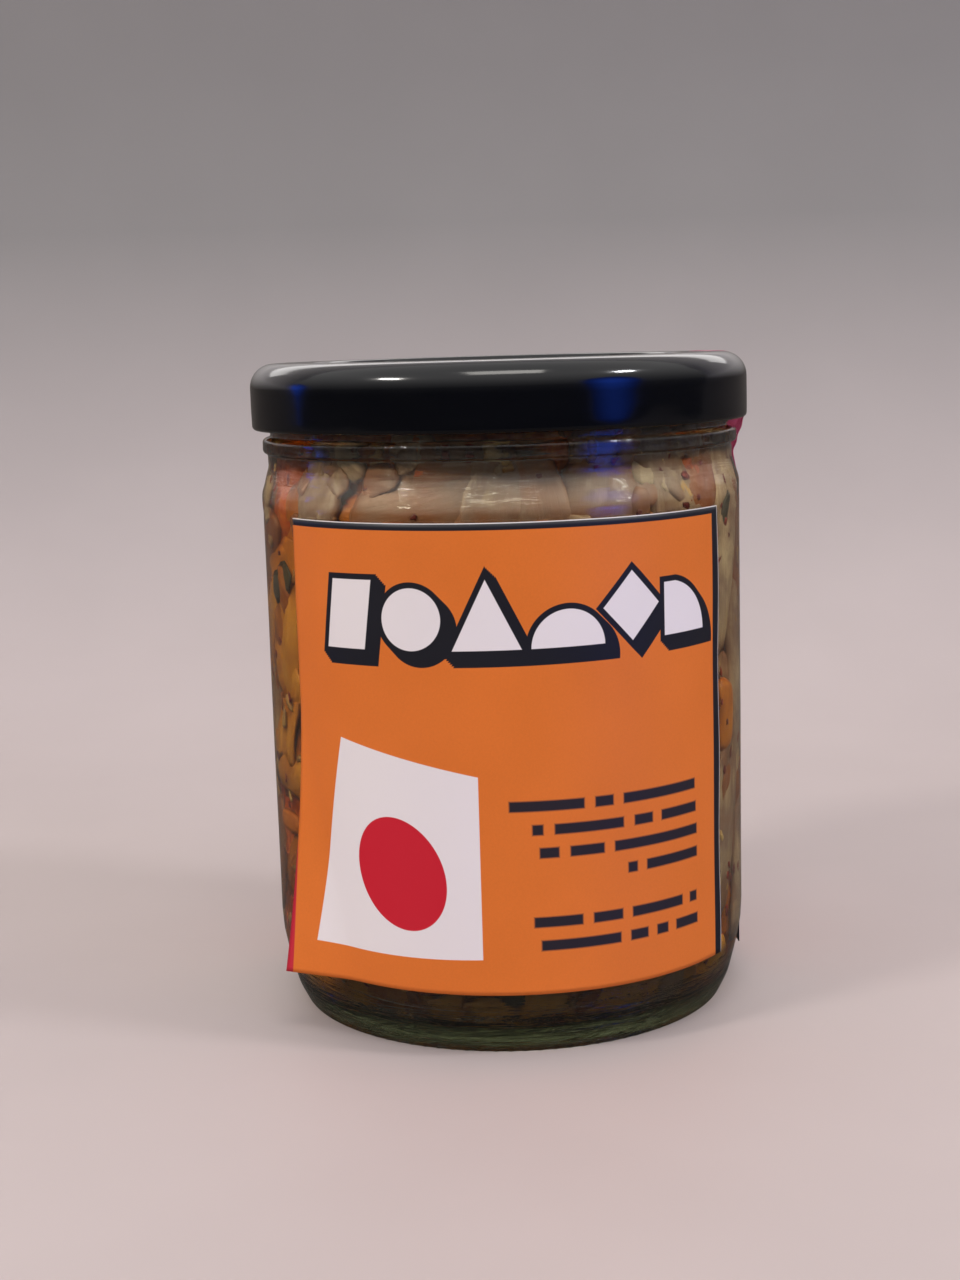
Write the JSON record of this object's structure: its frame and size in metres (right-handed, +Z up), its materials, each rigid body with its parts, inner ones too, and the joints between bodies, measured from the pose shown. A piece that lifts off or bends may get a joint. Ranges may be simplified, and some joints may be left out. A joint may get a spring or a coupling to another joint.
{
  "type": "kimchi jar",
  "caption": "Wide clear glass jar packed with fermented cabbage, shut by a black twist-off lid with a paper seal over it, wrapped in orange paper labels.",
  "frame": {"origin": "centre of the foot ring, on the surface the jar stands on", "axes": "+Z up along the jar's axis, front label facing -Y, +X to the right seen from the front"},
  "size_m": [0.0862, 0.086, 0.1126],
  "materials": {
    "glass": "clear moulded soda-lime glass with a faint green tint, ripples at the shoulder and a stippled foot",
    "lid_lacquer": "glossy black lacquer on pressed tinplate",
    "kimchi": null,
    "label_paper": "satin orange label paper with black borders and simple printed shapes",
    "seal_paper": "satin dark maroon paper"
  },
  "bodies": {
    "root": {"glass_jar": "glass", "lid": "lid_lacquer", "kimchi": "kimchi", "front_label": "label_paper", "back_label": "label_paper", "seal_strip": "seal_paper"}
  },
  "joints": []
}
